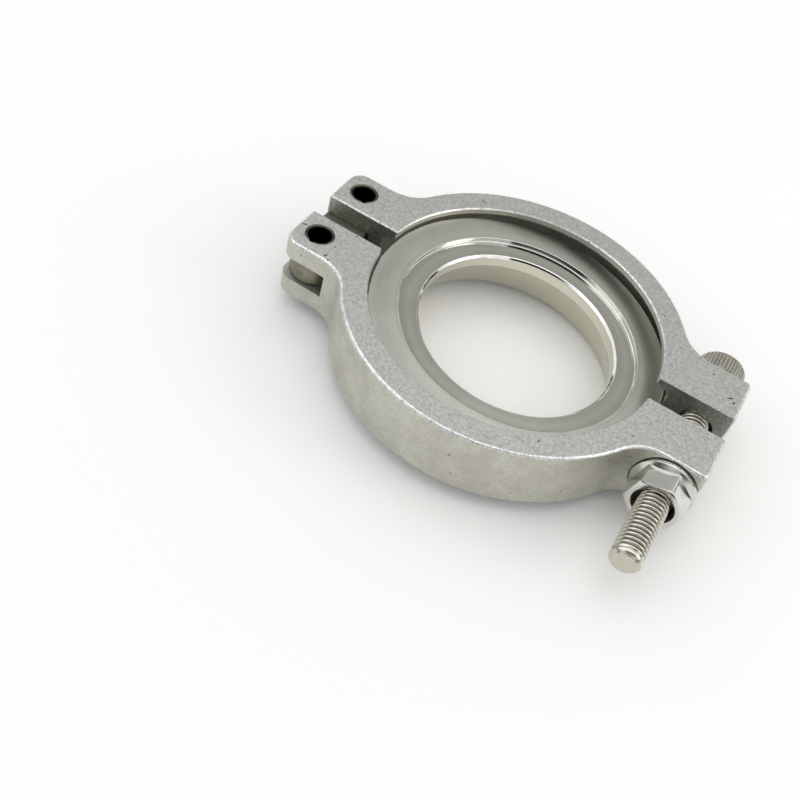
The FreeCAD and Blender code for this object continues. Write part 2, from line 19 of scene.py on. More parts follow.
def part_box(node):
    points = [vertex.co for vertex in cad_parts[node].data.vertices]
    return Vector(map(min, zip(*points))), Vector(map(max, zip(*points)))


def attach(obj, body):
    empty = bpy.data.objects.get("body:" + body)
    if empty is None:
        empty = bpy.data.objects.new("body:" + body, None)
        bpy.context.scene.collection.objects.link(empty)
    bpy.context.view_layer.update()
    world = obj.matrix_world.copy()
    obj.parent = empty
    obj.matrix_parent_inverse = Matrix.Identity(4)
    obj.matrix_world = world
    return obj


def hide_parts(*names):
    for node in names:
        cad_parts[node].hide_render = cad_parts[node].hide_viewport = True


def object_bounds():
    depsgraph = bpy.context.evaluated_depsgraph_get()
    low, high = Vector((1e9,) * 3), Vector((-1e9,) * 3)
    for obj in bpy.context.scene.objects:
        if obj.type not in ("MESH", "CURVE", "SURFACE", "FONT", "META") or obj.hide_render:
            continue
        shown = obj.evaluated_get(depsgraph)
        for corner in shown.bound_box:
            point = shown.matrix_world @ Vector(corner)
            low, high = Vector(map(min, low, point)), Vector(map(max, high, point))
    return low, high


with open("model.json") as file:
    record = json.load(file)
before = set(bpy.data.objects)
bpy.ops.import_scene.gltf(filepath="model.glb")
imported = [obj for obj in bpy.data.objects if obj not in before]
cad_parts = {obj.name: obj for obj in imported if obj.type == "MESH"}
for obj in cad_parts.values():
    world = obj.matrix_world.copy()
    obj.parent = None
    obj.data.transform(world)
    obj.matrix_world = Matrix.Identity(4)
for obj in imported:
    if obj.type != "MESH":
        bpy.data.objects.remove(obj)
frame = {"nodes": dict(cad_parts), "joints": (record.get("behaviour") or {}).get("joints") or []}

MM = 0.001
TOUCHING = 0.001 * MM
MIX_FACTOR, MIX_A, MIX_B, MIX_OUT = 0, 6, 7, 2
EDGE_FACE, PAINTED_SHADE_FACE = 1, 2
CAD_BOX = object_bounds()

log = logging.getLogger("clamp")


class Slot(Enum):
    """Names of three material slots of the record, which no piece here takes its finish from."""

    TURNED = "turned_stainless"
    SCREW = "stainless_screw"
    NUT = "bright_nut"


def linear(code: str) -> tuple[float, float, float, float]:
    """Turn an sRGB hex colour into linear light.

    Args:
        code: six hex digits after a hash sign.

    Returns:
        Red, green, blue and an alpha of 1.
    """
    parts = [int(code[i:i + 2], 16) / 255 for i in (1, 3, 5)]
    return (*(p / 12.92 if p <= 0.04045 else ((p + 0.055) / 1.055) ** 2.4 for p in parts), 1.0)


def add_node(tree: bpy.types.NodeTree, kind: str, feeds: dict | None = None,
             **settings: object) -> bpy.types.Node:
    """Add one node with its settings, and feed its inputs.

    Args:
        tree: the node tree that gets the node.
        kind: the node's type name.
        feeds: input name or number to a socket, which is linked, or a value.
        settings: the node's own properties.

    Returns:
        The new node.
    """
    node = tree.nodes.new(kind)
    for name, setting in settings.items():
        setattr(node, name, setting)
    for key, feed in (feeds or {}).items():
        if isinstance(feed, bpy.types.NodeSocket):
            tree.links.new(feed, node.inputs[key])
        else:
            node.inputs[key].default_value = feed
    return node


def new_material(name: str) -> tuple[bpy.types.Material, bpy.types.NodeTree]:
    """Start an empty node material.

    Args:
        name: the material's name.

    Returns:
        The material and its node tree.
    """
    material = bpy.data.materials.new(name)
    material.use_nodes = True
    material.node_tree.nodes.clear()
    return material, material.node_tree


@dataclass(frozen=True)
class Axis:
    """A piece's own axis: where it starts and which way it runs."""

    foot: Vector
    along: Vector

    def matrix(self) -> Matrix:
        """Give the matrix that stands a form made round Z on this axis."""
        turn = self.along.to_track_quat("Z", "Y").to_matrix().to_4x4()
        return Matrix.Translation(self.foot) @ turn

    def measure(
        self, tree: bpy.types.NodeTree, where: bpy.types.NodeSocket,
    ) -> tuple[bpy.types.NodeSocket, bpy.types.NodeSocket, bpy.types.NodeSocket]:
        """Measure a place against this axis, in a material.

        Args:
            tree: the material's node tree.
            where: the place in Object coordinates.

        Returns:
            The place in the axis's own frame, its height along the axis and its radius.
        """
        local = add_node(tree, "ShaderNodeMapping", {
            0: where, "Location": self.foot, "Rotation": self.matrix().to_euler(),
        }, vector_type="TEXTURE").outputs[0]
        split = add_node(tree, "ShaderNodeSeparateXYZ", {0: local})
        flat = add_node(tree, "ShaderNodeCombineXYZ", {
            0: split.outputs[0], 1: split.outputs[1],
        }).outputs[0]
        radius = add_node(tree, "ShaderNodeVectorMath", {
            0: flat,
        }, operation="LENGTH").outputs["Value"]
        return local, split.outputs[2], radius


@dataclass(frozen=True)
class Mark:
    """A scratch, nick or dark speck on the upper face of a casting."""

    middle: tuple[float, float]
    length: float
    width: float
    heading: float


@dataclass(frozen=True)
class BlastedCasting:
    """Precision-cast stainless steel, blasted with grit and tumbled.

    The blast leaves a matt, fine-grained face with small dark pits. Tumbling burnishes the edges,
    so they catch the light. The gap faces are painted a darker greenish grey, the raw cut's tone
    with painted shade between the halves, and the upright faces are painted lighter and yellower
    as a painted reflection of the bright table, stained in patches.
    """

    face: str = "#CFD0CD"
    dull: str = "#A5A7A3"
    # The upright faces' colours are painted lighter and yellower, a painted reflection of the table.
    side: str = "#D3D1C5"
    stain_and_table_reflection: str = "#C0BDAF"
    burnished: str = "#F4F4F2"
    pit: str = "#4A4B47"
    # The gap faces' colours are darker: the raw cut's tone with painted shade between the halves.
    raw_cut_and_shade: str = "#BCBFB8"
    raw_cut_dull_and_shade: str = "#81847D"
    roughness: float = 0.5
    burnished_roughness: float = 0.34
    grit: float = 0.3 * MM
    mottle: float = 0.8 * MM
    mottle_share: float = 0.35
    smudge: float = 6 * MM
    relief: float = 0.05 * MM
    pit_spacing: float = 1.5 * MM
    pit_size: float = 0.15
    pit_depth: float = 1.5
    pit_ragged: float = 0.3
    mark_ragged: float = 1.6
    mark_depth: float = 1 * MM
    gap_half: float = 3.05 * MM
    cut_full: float = 0.02 * MM
    cut_gone: float = 0.06 * MM
    marks: tuple[Mark, ...] = (
        Mark((-43.95 * MM, -7.9 * MM), 1.5 * MM, 0.4 * MM, 0.25),
        Mark((-20.0 * MM, 24.6 * MM), 1.9 * MM, 0.22 * MM, -0.6),
        Mark((42.3 * MM, 7.5 * MM), 1.3 * MM, 0.45 * MM, 0.6),
        Mark((43.1 * MM, 6.6 * MM), 0.8 * MM, 0.4 * MM, 1.4),
        Mark((-36.2 * MM, -12.6 * MM), 1.1 * MM, 0.35 * MM, 0.9),
        Mark((-35.2 * MM, -13.4 * MM), 0.7 * MM, 0.35 * MM, 1.2),
    )

    def material(self) -> bpy.types.Material:
        """Make the finish of the two castings."""
        material, tree = new_material("cast_stainless_blasted")
        coords = add_node(tree, "ShaderNodeTexCoord")
        where = coords.outputs["Object"]
        place = add_node(tree, "ShaderNodeSeparateXYZ", {0: where})
        facing = add_node(tree, "ShaderNodeSeparateXYZ", {0: coords.outputs["Normal"]})

        # Fine grit over a coarser mottle speckles the face light and dull.
        grain = add_node(tree, "ShaderNodeTexNoise", {
            "Vector": where, "Scale": 1 / self.grit, "Detail": 3.0, "Roughness": 0.65,
        }).outputs["Fac"]
        mottle = add_node(tree, "ShaderNodeTexNoise", {
            "Vector": where, "Scale": 1 / self.mottle, "Detail": 3.0, "Roughness": 0.6,
        }).outputs["Fac"]
        smudge = add_node(tree, "ShaderNodeTexNoise", {
            "Vector": where, "Scale": 1 / self.smudge, "Detail": 6.0, "Roughness": 0.7,
        }).outputs["Fac"]
        fine = add_node(tree, "ShaderNodeMath", {
            0: grain, 1: 1 - self.mottle_share,
        }, operation="MULTIPLY").outputs[0]
        blend = add_node(tree, "ShaderNodeMath", {
            0: mottle, 1: self.mottle_share, 2: fine,
        }, operation="MULTIPLY_ADD").outputs[0]
        speckle = add_node(tree, "ShaderNodeMapRange", {
            0: blend, "From Min": 0.38, "From Max": 0.62,
        }).outputs[0]
        colour = add_node(tree, "ShaderNodeMix", {
            MIX_FACTOR: speckle, MIX_A: linear(self.dull), MIX_B: linear(self.face),
        }, data_type="RGBA").outputs[MIX_OUT]

        # Upright faces are painted lighter and yellower as a painted reflection of the bright table,
        # stained in patches.
        level = add_node(tree, "ShaderNodeMath", {
            0: facing.outputs[2],
        }, operation="ABSOLUTE").outputs[0]
        flank = add_node(tree, "ShaderNodeMapRange", {
            0: level, "From Min": 0.5, "From Max": 0.1,
        }).outputs[0]
        stained = add_node(tree, "ShaderNodeMapRange", {
            0: smudge, "From Min": 0.4, "From Max": 0.62,
        }).outputs[0]
        side = add_node(tree, "ShaderNodeMix", {
            MIX_FACTOR: stained, MIX_A: linear(self.side), MIX_B: linear(self.stain_and_table_reflection),
        }, data_type="RGBA").outputs[MIX_OUT]
        painted_flank_reflection = add_node(tree, "ShaderNodeMath", {
            0: flank, 1: add_node(tree, "ShaderNodeMapRange", {
                0: speckle, "To Min": 0.45, "To Max": 0.95,
            }).outputs[0],
        }, operation="MULTIPLY").outputs[0]
        colour = add_node(tree, "ShaderNodeMix", {
            MIX_FACTOR: painted_flank_reflection, MIX_A: colour, MIX_B: side,
        }, data_type="RGBA").outputs[MIX_OUT]

        # Rounds between level and upright are rubbed bright by the tumbling.
        rise = add_node(tree, "ShaderNodeMapRange", {
            0: level, "From Min": 0.05, "From Max": 0.5,
        }, interpolation_type="SMOOTHSTEP").outputs[0]
        fall = add_node(tree, "ShaderNodeMapRange", {
            0: level, "From Min": 0.998, "From Max": 0.95,
        }, interpolation_type="SMOOTHSTEP").outputs[0]
        edge = add_node(tree, "ShaderNodeMath", {0: rise, 1: fall}, operation="MULTIPLY").outputs[0]
        rubbed = add_node(tree, "ShaderNodeMapRange", {
            0: blend, "From Min": 0.4, "From Max": 0.56, "To Min": 0.12,
        }).outputs[0]
        edge = add_node(tree, "ShaderNodeMath", {
            0: edge, 1: rubbed,
        }, operation="MULTIPLY").outputs[0]
        colour = add_node(tree, "ShaderNodeMix", {
            MIX_FACTOR: edge, MIX_A: colour, MIX_B: linear(self.burnished),
        }, data_type="RGBA").outputs[MIX_OUT]

        # The two faces of the gap are painted darker: the raw cut's tone with painted shade between
        # the halves.
        beside = add_node(tree, "ShaderNodeMath", {
            0: place.outputs[1],
        }, operation="ABSOLUTE").outputs[0]
        shaded_cut_face = add_node(tree, "ShaderNodeMapRange", {
            0: beside,
            "From Min": self.gap_half + self.cut_gone, "From Max": self.gap_half + self.cut_full,
        }).outputs[0]
        raw_cut_and_shade = add_node(tree, "ShaderNodeMix", {
            MIX_FACTOR: speckle, MIX_A: linear(self.raw_cut_dull_and_shade), MIX_B: linear(self.raw_cut_and_shade),
        }, data_type="RGBA").outputs[MIX_OUT]
        colour = add_node(tree, "ShaderNodeMix", {
            MIX_FACTOR: shaded_cut_face, MIX_A: colour, MIX_B: raw_cut_and_shade,
        }, data_type="RGBA").outputs[MIX_OUT]

        # About half of the cells hold a small dark pit. The handling marks are as dark.
        cells = add_node(tree, "ShaderNodeTexVoronoi", {
            "Vector": where, "Scale": 1 / self.pit_spacing,
        })
        chosen = add_node(tree, "ShaderNodeSeparateColor", {0: cells.outputs["Color"]}).outputs[0]
        size = add_node(tree, "ShaderNodeMapRange", {
            0: chosen, "From Min": 0.5, "From Max": 1.0, "To Max": self.pit_size,
        }).outputs[0]
        ragged = add_node(tree, "ShaderNodeMath", {
            0: grain, 1: self.pit_ragged, 2: -self.pit_ragged / 2,
        }, operation="MULTIPLY_ADD").outputs[0]
        away = add_node(tree, "ShaderNodeMath", {
            0: cells.outputs["Distance"], 1: ragged,
        }, operation="ADD").outputs[0]
        pit = add_node(tree, "ShaderNodeMath", {0: size, 1: away}, operation="SUBTRACT").outputs[0]
        pit = add_node(tree, "ShaderNodeMapRange", {
            0: pit, "From Min": 0.0, "From Max": 0.05,
        }).outputs[0]
        for mark in self.marks:
            spot = add_node(tree, "ShaderNodeMapping", {
                0: where, "Location": (*mark.middle, CAD_BOX[1].z),
                "Rotation": (0.0, 0.0, mark.heading),
                "Scale": (mark.length / 2, mark.width / 2, self.mark_depth),
            }, vector_type="TEXTURE").outputs[0]
            reach = add_node(tree, "ShaderNodeVectorMath", {
                0: spot,
            }, operation="LENGTH").outputs["Value"]
            torn = add_node(tree, "ShaderNodeMath", {
                0: grain, 1: self.mark_ragged, 2: -self.mark_ragged / 2,
            }, operation="MULTIPLY_ADD").outputs[0]
            reach = add_node(tree, "ShaderNodeMath", {
                0: reach, 1: torn,
            }, operation="ADD").outputs[0]
            scar = add_node(tree, "ShaderNodeMapRange", {
                0: reach, "From Min": 1.0, "From Max": 0.75,
            }).outputs[0]
            pit = add_node(tree, "ShaderNodeMath", {
                0: pit, 1: scar,
            }, operation="MAXIMUM").outputs[0]
        colour = add_node(tree, "ShaderNodeMix", {
            MIX_FACTOR: pit, MIX_A: colour, MIX_B: linear(self.pit),
        }, data_type="RGBA").outputs[MIX_OUT]

        height = add_node(tree, "ShaderNodeMath", {
            0: pit, 1: -self.pit_depth, 2: grain,
        }, operation="MULTIPLY_ADD").outputs[0]
        bump = add_node(tree, "ShaderNodeBump", {
            "Strength": 0.7, "Distance": self.relief, "Height": height,
        }).outputs[0]
        shine = add_node(tree, "ShaderNodeMapRange", {
            0: edge, "To Min": self.roughness, "To Max": self.burnished_roughness,
        }).outputs[0]
        shader = add_node(tree, "ShaderNodeBsdfPrincipled", {
            "Base Color": colour, "Metallic": 1.0, "Roughness": shine, "Normal": bump,
        })
        add_node(tree, "ShaderNodeOutputMaterial", {"Surface": shader.outputs[0]})
        return material


@dataclass(frozen=True)
class TurnedStainless:
    """Turned stainless bar, faced and bored on a lathe.

    The tool leaves fine rings, too fine for the render at their real 0.1 mm, so they are drawn
    0.3 mm apart. They spread a light across the rings, as on any faced disc. The sunk register
    is turned finer, so its step mirrors the room in sharp dark and white stretches.
    """

    axis: Axis
    bore_top: float
    bore_reach: float
    name: str = "turned_stainless_satin"
    bright: str = "#CCCCC5"
    dull: str = "#BABAB2"
    # The bore's colour is painted lighter and yellower, a painted reflection of the table below.
    bore: str = "#DBD8C6"
    feed: float = 0.3 * MM
    feeds_per_band: int = 8
    haze_size: float = 6 * MM
    ring_depth: float = 0.006 * MM
    roughness: float = 0.3
    lapped: float = 0.13
    spread: float = 0.4
    spread_turn: float = 0.25

    def material(self) -> bpy.types.Material:
        """Make the finish of the weld flange."""
        material, tree = new_material(self.name)
        where = add_node(tree, "ShaderNodeTexCoord").outputs["Object"]
        local, height, radius = self.axis.measure(tree, where)

        # The turning rings follow the section, in fine and in broad bands.
        run = add_node(tree, "ShaderNodeMath", {
            0: radius, 1: height,
        }, operation="ADD").outputs[0]
        rings = add_node(tree, "ShaderNodeTexNoise", {
            "W": run, "Scale": 1 / self.feed, "Detail": 2.0, "Roughness": 0.7,
        }, noise_dimensions="1D").outputs["Fac"]
        broad = add_node(tree, "ShaderNodeTexNoise", {
            "W": run, "Scale": 1 / (self.feeds_per_band * self.feed), "Detail": 1.0,
        }, noise_dimensions="1D").outputs["Fac"]
        haze = add_node(tree, "ShaderNodeTexNoise", {
            "Vector": local, "Scale": 1 / self.haze_size, "Detail": 3.0,
        }).outputs["Fac"]
        tone = add_node(tree, "ShaderNodeMath", {0: rings, 1: broad}, operation="ADD").outputs[0]
        tone = add_node(tree, "ShaderNodeMath", {0: haze, 1: tone}, operation="ADD").outputs[0]
        tone = add_node(tree, "ShaderNodeMapRange", {
            0: tone, "From Min": 1.1, "From Max": 1.9,
        }).outputs[0]
        colour = add_node(tree, "ShaderNodeMix", {
            MIX_FACTOR: tone, MIX_A: linear(self.dull), MIX_B: linear(self.bright),
        }, data_type="RGBA").outputs[MIX_OUT]

        # The bore's wall is painted lighter and yellower than the faces, a painted reflection of the
        # bright table below.
        below = add_node(tree, "ShaderNodeMath", {
            0: height, 1: self.bore_top,
        }, operation="LESS_THAN")
        within = add_node(tree, "ShaderNodeMath", {
            0: radius, 1: self.bore_reach,
        }, operation="LESS_THAN")
        painted_bore_reflection = add_node(tree, "ShaderNodeMath", {
            0: below.outputs[0], 1: within.outputs[0],
        }, operation="MULTIPLY").outputs[0]
        colour = add_node(tree, "ShaderNodeMix", {
            MIX_FACTOR: painted_bore_reflection, MIX_A: colour, MIX_B: linear(self.bore),
        }, data_type="RGBA").outputs[MIX_OUT]

        # A light spreads across the rings, so the tangent runs round the axis.
        bump = add_node(tree, "ShaderNodeBump", {
            "Strength": 0.25, "Distance": self.ring_depth, "Height": rings,
        }).outputs[0]
        round_way = add_node(tree, "ShaderNodeVectorMath", {
            0: tuple(self.axis.along), 1: add_node(tree, "ShaderNodeVectorMath", {
                0: where, 1: tuple(self.axis.foot),
            }, operation="SUBTRACT").outputs[0],
        }, operation="CROSS_PRODUCT").outputs[0]
        tangent = add_node(tree, "ShaderNodeVectorTransform", {
            0: round_way,
        }, vector_type="VECTOR", convert_from="OBJECT", convert_to="WORLD").outputs[0]
        tangent = add_node(tree, "ShaderNodeVectorMath", {
            0: tangent,
        }, operation="NORMALIZE").outputs[0]
        gloss = add_node(tree, "ShaderNodeMapRange", {
            0: within.outputs[0], "To Min": self.roughness, "To Max": self.lapped,
        }).outputs[0]
        shader = add_node(tree, "ShaderNodeBsdfPrincipled", {
            "Base Color": colour, "Metallic": 1.0, "Roughness": gloss, "Anisotropic": self.spread,
            "Anisotropic Rotation": self.spread_turn, "Normal": bump, "Tangent": tangent,
        })
        add_node(tree, "ShaderNodeOutputMaterial", {"Surface": shader.outputs[0]})
        return material


@dataclass(frozen=True)
class SmoothSteel:
    """Steel without a grain of its own: rolled, polished, blackened or stamped.

    Handling leaves a faint cloud in its tone and gloss, and its edges, where they are broken,
    are rubbed bright.
    """

    name: str
    colour: str
    cloud: str
    roughness: float
    cloud_size: float = 2.5 * MM
    edge: str | None = None
    edge_slope: float = 0.6
    bump: float = 0.0
    bump_depth: float = 0.03 * MM
    dulled: float = 1.25
    cleaned: float = 0.85

    def material(self) -> bpy.types.Material:
        """Make the finish."""
        material, tree = new_material(self.name)
        coords = add_node(tree, "ShaderNodeTexCoord")
        cloud = add_node(tree, "ShaderNodeTexNoise", {
            "Vector": coords.outputs["Object"], "Scale": 1 / self.cloud_size,
            "Detail": 6.0, "Roughness": 0.6,
        }).outputs["Fac"]
        tone = add_node(tree, "ShaderNodeMapRange", {
            0: cloud, "From Min": 0.35, "From Max": 0.65,
        }).outputs[0]
        colour = add_node(tree, "ShaderNodeMix", {
            MIX_FACTOR: tone, MIX_A: linear(self.cloud), MIX_B: linear(self.colour),
        }, data_type="RGBA").outputs[MIX_OUT]
        if self.edge:
            facing = add_node(tree, "ShaderNodeSeparateXYZ", {
                0: coords.outputs["Normal"],
            }).outputs[2]
            slope = add_node(tree, "ShaderNodeMath", {0: facing}, operation="ABSOLUTE").outputs[0]
            off = add_node(tree, "ShaderNodeMath", {
                0: slope, 1: self.edge_slope,
            }, operation="SUBTRACT").outputs[0]
            off = add_node(tree, "ShaderNodeMath", {0: off}, operation="ABSOLUTE").outputs[0]
            rubbed = add_node(tree, "ShaderNodeMapRange", {
                0: off, "From Min": 0.35, "From Max": 0.2,
            }).outputs[0]
            colour = add_node(tree, "ShaderNodeMix", {
                MIX_FACTOR: rubbed, MIX_A: colour, MIX_B: linear(self.edge),
            }, data_type="RGBA").outputs[MIX_OUT]
        gloss = add_node(tree, "ShaderNodeMapRange", {
            0: tone, "To Min": self.dulled * self.roughness,
            "To Max": self.cleaned * self.roughness,
        }).outputs[0]
        bump = add_node(tree, "ShaderNodeBump", {
            "Strength": self.bump, "Distance": self.bump_depth, "Height": cloud,
        }).outputs[0]
        shader = add_node(tree, "ShaderNodeBsdfPrincipled", {
            "Base Color": colour, "Metallic": 1.0, "Roughness": gloss, "Normal": bump,
        })
        add_node(tree, "ShaderNodeOutputMaterial", {"Surface": shader.outputs[0]})
        return material


@dataclass(frozen=True)
class RolledScrew:
    """Cold-headed stainless screw with a rolled thread and a straight knurl.

    The crests are painted lighter, their rolled polish with a painted highlight, and the valleys
    are painted dark brown as painted shade, so each turn of the thread reads as a bright line
    beside a dark one.
    """

    axis: Axis
    length: float
    run_in: float
    root: float
    crest: float
    knurl_root: float
    knurl_crest: float
    name: str = "rolled_stainless_screw"
    # The crests' colour is a painted highlight on their polish; the darkest is painted shade in the
    # valleys.
    bright: str = "#E6E4DA"
    body: str = "#C6C3B6"
    valley_shade: str = "#2F2921"
    roughness: float = 0.25
    dulled: float = 1.2
    cleaned: float = 0.85
    cloud_size: float = 1.2 * MM
    valley_shade_before: float = 0.1 * MM
    valley_shade_after: float = 0.8 * MM
    valley_shade_height: float = 0.95
    polish_start: float = 0.2 * MM
    polish_full: float = 0.03 * MM
    knurl_shade: float = 0.7
    knurl_margin: float = 0.03 * MM

    def material(self) -> bpy.types.Material:
        """Make the finish of the screw."""
        material, tree = new_material(self.name)
        where = add_node(tree, "ShaderNodeTexCoord").outputs["Object"]
        local, height, radius = self.axis.measure(tree, where)
        cloud = add_node(tree, "ShaderNodeTexNoise", {
            "Vector": local, "Scale": 1 / self.cloud_size, "Detail": 6.0, "Roughness": 0.6,
        }).outputs["Fac"]

        # The thread's valleys are painted dark as painted shade behind its run-in, and its crests are
        # painted lighter, their polish with a painted highlight.
        threaded = add_node(tree, "ShaderNodeMapRange", {
            0: height, "From Min": self.run_in - self.valley_shade_before,
            "From Max": self.run_in + self.valley_shade_after,
        }).outputs[0]
        shank = add_node(tree, "ShaderNodeMath", {
            0: height, 1: self.length,
        }, operation="LESS_THAN").outputs[0]
        valley_shaded = add_node(tree, "ShaderNodeMapRange", {
            0: radius, "From Min": self.root + self.valley_shade_height * (self.crest - self.root),
            "From Max": self.root,
        }, interpolation_type="SMOOTHSTEP").outputs[0]
        valley_shaded = add_node(tree, "ShaderNodeMath", {
            0: valley_shaded, 1: shank,
        }, operation="MULTIPLY").outputs[0]
        valley_shaded = add_node(tree, "ShaderNodeMath", {
            0: valley_shaded, 1: threaded,
        }, operation="MULTIPLY").outputs[0]
        crest = add_node(tree, "ShaderNodeMapRange", {
            0: radius, "From Min": self.crest - self.polish_start,
            "From Max": self.crest - self.polish_full,
        }).outputs[0]
        crest = add_node(tree, "ShaderNodeMath", {
            0: crest, 1: shank,
        }, operation="MULTIPLY").outputs[0]

        # The knurl's grooves get the same painted shade, but lighter.
        knurl_shaded = add_node(tree, "ShaderNodeMapRange", {
            0: radius, "From Min": self.knurl_crest, "From Max": self.knurl_root,
            "To Max": self.knurl_shade,
        }).outputs[0]
        head = add_node(tree, "ShaderNodeMath", {
            0: 1.0, 1: shank,
        }, operation="SUBTRACT").outputs[0]
        outside = add_node(tree, "ShaderNodeMath", {
            0: radius, 1: self.knurl_root - self.knurl_margin,
        }, operation="GREATER_THAN").outputs[0]
        knurl_shaded = add_node(tree, "ShaderNodeMath", {
            0: knurl_shaded, 1: head,
        }, operation="MULTIPLY").outputs[0]
        knurl_shaded = add_node(tree, "ShaderNodeMath", {
            0: knurl_shaded, 1: outside,
        }, operation="MULTIPLY").outputs[0]
        dark = add_node(tree, "ShaderNodeMath", {
            0: valley_shaded, 1: knurl_shaded,
        }, operation="MAXIMUM").outputs[0]
        dark = add_node(tree, "ShaderNodeMath", {
            0: dark, 1: add_node(tree, "ShaderNodeMapRange", {
                0: cloud, "From Min": 0.3, "From Max": 0.6, "To Min": 0.75,
            }).outputs[0],
        }, operation="MULTIPLY").outputs[0]

        colour = add_node(tree, "ShaderNodeMix", {
            MIX_FACTOR: crest, MIX_A: linear(self.body), MIX_B: linear(self.bright),
        }, data_type="RGBA").outputs[MIX_OUT]
        colour = add_node(tree, "ShaderNodeMix", {
            MIX_FACTOR: dark, MIX_A: colour, MIX_B: linear(self.valley_shade),
        }, data_type="RGBA").outputs[MIX_OUT]
        gloss = add_node(tree, "ShaderNodeMapRange", {
            0: cloud, "From Min": 0.35, "From Max": 0.65,
            "To Min": self.dulled * self.roughness, "To Max": self.cleaned * self.roughness,
        }).outputs[0]
        shader = add_node(tree, "ShaderNodeBsdfPrincipled", {
            "Base Color": colour, "Metallic": 1.0, "Roughness": gloss,
        })
        add_node(tree, "ShaderNodeOutputMaterial", {"Surface": shader.outputs[0]})
        return material


# A freshly cut edge mirrors what stands round it sharply and almost without a tone of its own.
BRIGHT_EDGE = SmoothSteel("bright_cut_edge", "#F3F3F1", "#E4E4E1", 0.1, 1.5 * MM)
Size = float | Callable[[float], float]


@dataclass(frozen=True)
class Ring:
    """One ring of a form round Z: its radius and height, fixed or by the angle."""

    radius: Size
    height: Size

    def settle(self, verts: Iterable[bmesh.types.BMVert]) -> None:
        """Move a ring's points to their places.

        Args:
            verts: points that lie round Z, none of them on it.
        """
        for vert in verts:
            angle = math.atan2(vert.co.y, vert.co.x)
            radius = self.radius(angle) if callable(self.radius) else self.radius
            height = self.height(angle) if callable(self.height) else self.height
            vert.co = (radius * math.cos(angle), radius * math.sin(angle), height)


def hexagon(flats: float, turn: float = 0.0, sharpness: int = 40) -> Callable[[float], float]:
    """Describe a hexagon with slightly rounded corners.

    Args:
        flats: width across flats.
        turn: angle of its first flat's middle.
        sharpness: the higher, the smaller the corners' rounding.

    Returns:
        The radius at an angle.
    """
    def radius(angle: float) -> float:
        """Give the hexagon's radius at an angle."""
        leans = (math.cos(angle - turn - k * math.pi / 3) for k in range(6))
        return flats / 2 / sum(max(0.0, lean) ** sharpness for lean in leans) ** (1 / sharpness)
    return radius


def stack_rings(mesh: bmesh.types.BMesh, rings: Sequence[Ring], segments: int, ends: bool) -> None:
    """Raise a skin through rings, each extruded from the one before.

    Args:
        mesh: the mesh that gets the skin.
        rings: the rings in order. For a closed round the last repeats the first.
        segments: points in each ring.
        ends: whether the first and last ring are closed with a face.
    """
    verts = bmesh.ops.create_circle(mesh, cap_ends=False, segments=segments, radius=1.0)["verts"]
    edges = list({edge for vert in verts for edge in vert.link_edges})
    rings[0].settle(verts)
    for ring in rings[1:]:
        made = bmesh.ops.extrude_edge_only(mesh, edges=edges)["geom"]
        fresh = {item for item in made if isinstance(item, bmesh.types.BMVert)}
        edges = [
            item for item in made
            if isinstance(item, bmesh.types.BMEdge) and fresh.issuperset(item.verts)
        ]
        ring.settle(fresh)
    bmesh.ops.remove_doubles(mesh, verts=mesh.verts[:], dist=TOUCHING)
    if ends:
        bmesh.ops.holes_fill(mesh, edges=[edge for edge in mesh.edges if edge.is_boundary], sides=0)


def break_edges(mesh: bmesh.types.BMesh, width: float, sharper: float) -> None:
    """Give a mesh's sharp edges a small round, which takes the piece's second material.

    Args:
        mesh: a closed mesh.
        width: how far the round reaches from the edge.
        sharper: least angle between two faces, in degrees, that counts as sharp.
    """
    sharp = [
        edge for edge in mesh.edges
        if edge.is_manifold and edge.calc_face_angle() > math.radians(sharper)
    ]
    made = bmesh.ops.bevel(
        mesh, geom=sharp, offset=width, offset_type="OFFSET", affect="EDGES",
        segments=2, profile=0.5, material=-1, clamp_overlap=True,
    )
    for face in made["faces"]:
        face.material_index = EDGE_FACE


def make_piece(mesh: bmesh.types.BMesh, name: str, axis: Axis, *materials: bpy.types.Material,
               smooth: float = 35.0) -> bpy.types.Object:
    """Turn a mesh made round Z into a finished piece on its axis.

    Args:
        mesh: the mesh, which is freed.
        name: the piece's name.
        axis: where it stands.
        materials: its finishes, in the order of the faces' material numbers.
        smooth: angle in degrees beyond which an edge stays sharp.

    Returns:
        The object, at the origin, with its place in its mesh.
    """
    bmesh.ops.transform(mesh, matrix=axis.matrix(), verts=mesh.verts[:])
    bmesh.ops.recalc_face_normals(mesh, faces=mesh.faces[:])
    data = bpy.data.meshes.new(name)
    mesh.to_mesh(data)
    mesh.free()
    data.shade_smooth()
    data.set_sharp_from_angle(angle=math.radians(smooth))
    for material in materials:
        data.materials.append(material)
    piece = bpy.data.objects.new(name, data)
    bpy.context.scene.collection.objects.link(piece)
    flatten = piece.modifiers.new("flat_faces_stay_flat", "WEIGHTED_NORMAL")
    flatten.keep_sharp = True
    return piece


@dataclass
class Castings:
    """The two cast half rings, which keep their solids' shape."""

    finish: BlastedCasting = BlastedCasting()

    def dress(self) -> None:
        """Give both castings their blasted finish."""
        material = self.finish.material()
        for node in ("half_clamp_nut_side", "half_clamp_head_side"):
            dress_node(node, material)


